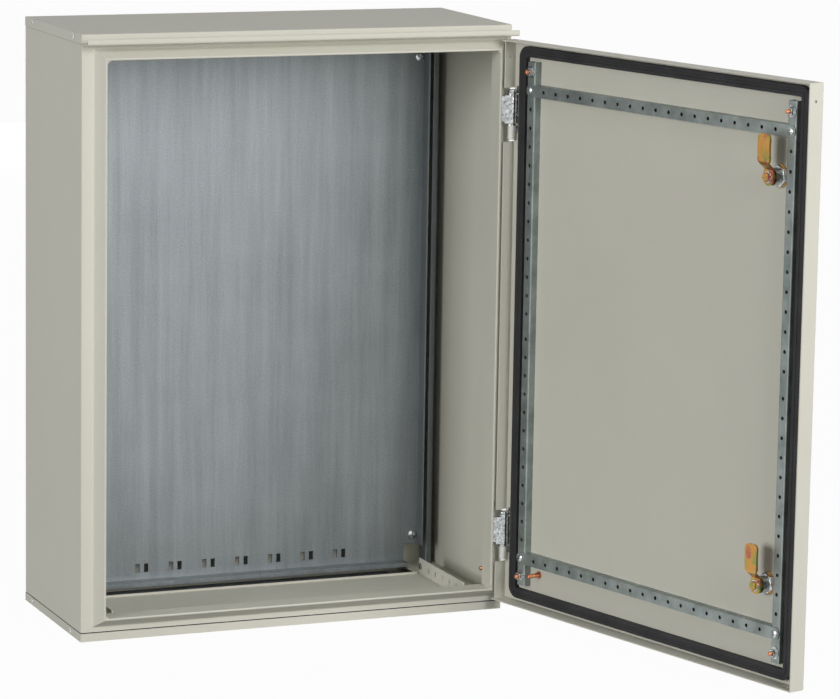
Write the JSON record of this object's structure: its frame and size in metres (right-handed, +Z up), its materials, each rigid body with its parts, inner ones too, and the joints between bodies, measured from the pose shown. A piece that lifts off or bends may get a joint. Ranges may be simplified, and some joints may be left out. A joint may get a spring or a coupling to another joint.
{
  "type": "wall enclosure",
  "caption": "Shallow upright sheet-steel wall cabinet with a rain hood, an inner mounting plate and one hinged door with seal, perforated rails and quarter-turn locks, standing open",
  "frame": {"origin": "centre of the base pan's flat underside, under the middle of the cabinet's width and depth", "axes": "+X to the hinge side, +Y towards the wall behind, +Z up; the door swings about an upright axis at the front right and stands open towards -Y"},
  "size_m": [0.7613, 0.8421, 0.8],
  "materials": {
    "painted_sheet": "light warm grey textured powder coat",
    "galvanised_sheet": "hot-dip galvanised sheet with faint upright streaks",
    "zinc_rail": "dull blue-grey zinc",
    "zinc_plated": "bright zinc plate",
    "copper_plated": "copper-plated steel",
    "yellow_chromate": "yellow iridescent chromate over zinc",
    "seal": "matt black foamed seal",
    "nylon": "natural white nylon"
  },
  "bodies": {
    "cabinet": {"body_wrap": "painted_sheet", "front_header": "painted_sheet", "front_sill": "painted_sheet", "roof": "painted_sheet", "base_pan": "painted_sheet", "base_seal": "seal", "body_floor": "painted_sheet", "floor_rail_left": "painted_sheet", "floor_rail_right": "painted_sheet", "floor_rail_screws": "zinc_plated", "gland_plate": "galvanised_sheet", "gland_gasket": "seal", "gland_screws": "zinc_plated", "support_rail_left": "galvanised_sheet", "support_rail_right": "galvanised_sheet", "mounting_plate": "galvanised_sheet", "plate_screws": "zinc_plated", "plate_standoffs": "zinc_plated", "body_earth_stud": "copper_plated", "roof_rivets": "painted_sheet", "base_rivets": "painted_sheet", "hinge_leaf_upper": "zinc_plated", "hinge_leaf_lower": "zinc_plated", "hinge_pin_upper": "zinc_plated", "hinge_pin_lower": "zinc_plated", "hinge_sleeve_upper": "nylon", "hinge_sleeve_lower": "nylon"},
    "door": {"door_panel": "painted_sheet", "door_gasket": "seal", "door_rail_hinge_side": "zinc_rail", "door_rail_lock_side": "zinc_rail", "door_rail_top": "zinc_rail", "door_rail_bottom": "zinc_rail", "rail_studs": "copper_plated", "rail_washers": "zinc_plated", "rail_nuts": "zinc_plated", "rail_screws": "zinc_plated", "door_earth_bolt": "copper_plated", "hinge_bracket_upper": "zinc_plated", "hinge_bracket_lower": "zinc_plated", "lock_housing_upper": "zinc_plated", "lock_housing_lower": "zinc_plated", "lock_nut_upper": "zinc_plated", "lock_nut_lower": "zinc_plated"},
    "upper_lock": {"lock_insert_upper": "zinc_plated", "lock_cam_upper": "yellow_chromate", "cam_washer_upper": "zinc_plated", "cam_bolt_upper": "yellow_chromate"},
    "lower_lock": {"lock_insert_lower": "zinc_plated", "lock_cam_lower": "yellow_chromate", "cam_washer_lower": "zinc_plated", "cam_bolt_lower": "yellow_chromate"}
  },
  "joints": [
    {"name": "door_hinge", "type": "hinge", "parent": "cabinet", "child": "door", "pos_m": [0.2945, -0.142, 0], "axis": [0, 0, 1], "range_deg": [-105.5, 12]},
    {"name": "upper_lock_turn", "type": "hinge", "parent": "door", "child": "upper_lock", "pos_m": [0.434, -0.64502, 0.659], "axis": [0.9636, 0.2672, 0], "range_deg": [0, 90]},
    {"name": "lower_lock_turn", "type": "hinge", "parent": "door", "child": "lower_lock", "pos_m": [0.434, -0.64502, 0.142], "axis": [0.9636, 0.2672, 0], "range_deg": [0, 90]}
  ]
}
